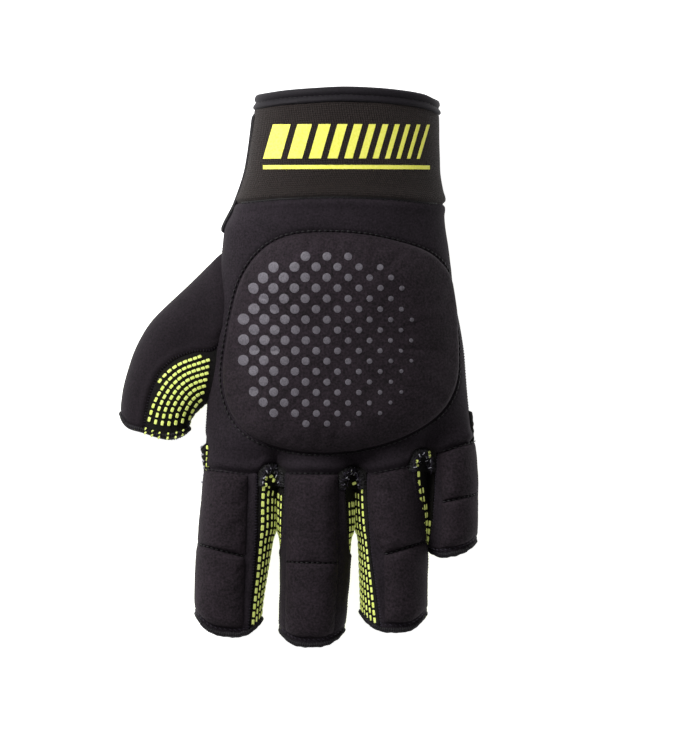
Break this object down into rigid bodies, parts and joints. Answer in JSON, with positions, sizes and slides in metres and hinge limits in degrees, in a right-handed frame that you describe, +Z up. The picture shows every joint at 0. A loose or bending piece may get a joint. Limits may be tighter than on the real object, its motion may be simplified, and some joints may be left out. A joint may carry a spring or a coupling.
{
  "type": "field hockey glove",
  "caption": "Padded half-finger glove for the left hand with an elastic cuff, a domed knuckle pad, foam finger pads and ribbed grip fabric on the palm.",
  "frame": {"origin": "on the resting surface, under the middle of the glove's box as it lies palm down", "axes": "+Z up out of the back of the hand, +Y towards the cuff, fingers towards -Y, thumb towards -X"},
  "size_m": [0.1323, 0.2067, 0.0464],
  "materials": {
    "neoprene": "black neoprene faced with fine jersey knit",
    "pad": "black jersey over soft foam",
    "elastic": "brownish black woven elastic",
    "binding": "blue-black folded binding tape",
    "grip": "black mesh with raised lime green rubber ribs",
    "thread": "dense black stitching"
  },
  "bodies": {
    "root": {"cuff_band": "elastic", "cuff_binding": "binding", "side_binding": "binding", "back_panel": "neoprene", "knuckle_pad": "pad", "palm_panel": "grip", "thumb_back": "neoprene", "thumb_palm": "grip", "thumb_hem": "binding", "web_index_middle": "thread", "web_middle_ring": "thread", "web_ring_little": "thread", "index_back": "neoprene", "index_palm": "grip", "index_pad_base": "pad", "index_pad_tip": "pad", "index_hem": "binding", "middle_back": "neoprene", "middle_palm": "grip", "middle_pad_base": "pad", "middle_pad_tip": "pad", "middle_hem": "binding", "ring_back": "neoprene", "ring_palm": "grip", "ring_pad_base": "pad", "ring_pad_tip": "pad", "ring_hem": "binding", "little_back": "neoprene", "little_palm": "grip", "little_pad_base": "pad", "little_pad_tip": "pad", "little_hem": "binding"}
  },
  "joints": []
}
